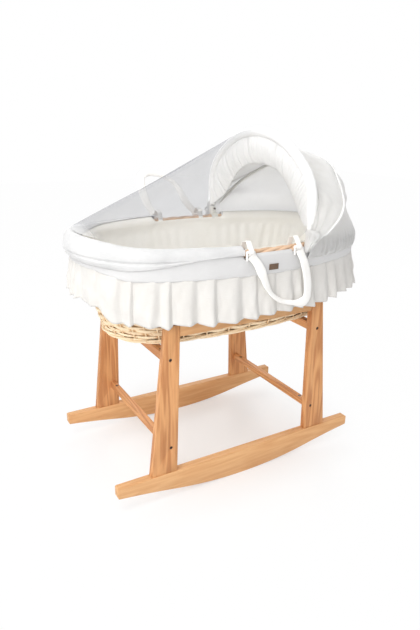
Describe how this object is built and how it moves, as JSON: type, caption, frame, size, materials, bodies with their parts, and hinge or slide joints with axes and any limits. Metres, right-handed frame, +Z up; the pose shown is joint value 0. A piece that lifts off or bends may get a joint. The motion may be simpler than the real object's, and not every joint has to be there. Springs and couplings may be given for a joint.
{
  "type": "rocking moses basket",
  "caption": "Dressed oval wicker baby basket with folding hood, insect net, pleated skirt and carrying straps, resting on a wooden stand with curved rockers.",
  "frame": {"origin": "on the floor under the middle of the stand, on the line where the soles touch it", "axes": "+X from the foot end to the head end with the hood, +Y from the near side to the far side, +Z up"},
  "size_m": [0.8748, 0.6137, 0.9069],
  "materials": {
    "stand_wood": "stained and varnished",
    "dowel_wood": "plain beech",
    "steel": "zinc plated",
    "wicker": "woven, lightly varnished",
    "lining_cloth": "soft cotton",
    "band_cloth": "quilted cotton",
    "frill_cloth": "pleated cotton",
    "label_leather": "plain, no print",
    "strap_cloth": "cotton webbing",
    "hoop_plastic": "matt",
    "hood_cloth": "fine cotton",
    "net": "fine net"
  },
  "bodies": {
    "stand": {"rocker_front": "stand_wood", "rocker_rear": "stand_wood", "side_rail_front": "stand_wood", "side_rail_rear": "stand_wood", "leg_front_foot": "stand_wood", "leg_front_head": "stand_wood", "leg_rear_foot": "stand_wood", "leg_rear_head": "stand_wood", "cross_rail_foot": "stand_wood", "cross_rail_head": "stand_wood", "stretcher_foot": "stand_wood", "stretcher_head": "stand_wood", "frame_bolts": "steel", "barrel_nuts": "steel", "leg_dowels": "dowel_wood", "rail_dowels": "dowel_wood"},
    "basket": {"wicker_tub": "wicker", "wicker_border": "wicker", "lining": "lining_cloth", "mattress": "lining_cloth", "rim_pad_foot": "band_cloth", "rim_pad_head": "band_cloth", "skirt_band": "band_cloth", "frill": "frill_cloth", "label": "label_leather", "handle_anchors": "strap_cloth", "hood_clips": "hoop_plastic", "hood_pins": "steel", "net_hem": "band_cloth", "net_cover": "net", "hood_front_panel": "hood_cloth", "hood_tail": "hood_cloth"},
    "hood_front": {"front_hoop": "hoop_plastic", "hood_brim": "hood_cloth"},
    "hood_rear": {"rear_hoop": "hoop_plastic"},
    "handle_near": {"handle_near": "strap_cloth"},
    "handle_far": {"handle_far": "strap_cloth"}
  },
  "joints": [
    {"name": "basket_lift", "type": "slide", "parent": "stand", "child": "basket", "axis": [0, 0, 1], "range_m": [0, 0.15]},
    {"name": "hood_fold", "type": "hinge", "parent": "basket", "child": "hood_front", "pos_m": [0.147, 0, 0.664], "axis": [0, 1, 0], "range_deg": [0, 78], "deforming": ["net_cover", "hood_front_panel"]},
    {"name": "hood_rear_fold", "type": "hinge", "parent": "basket", "child": "hood_rear", "pos_m": [0.147, 0, 0.664], "axis": [0, 1, 0], "range_deg": [0, 38.03], "deforming": ["hood_tail"]},
    {"name": "handle_near_swing", "type": "hinge", "parent": "basket", "child": "handle_near", "pos_m": [0.028, -0.25971, 0.644], "axis": [-1, 0, 0], "range_deg": [0, 146]},
    {"name": "handle_far_swing", "type": "hinge", "parent": "basket", "child": "handle_far", "pos_m": [0.028, 0.25971, 0.644], "axis": [-1, 0, 0], "range_deg": [0, 146]}
  ],
  "couplings": [
    {"joint": "hood_rear_fold", "follows": "hood_fold", "ratio": 0.4875}
  ]
}
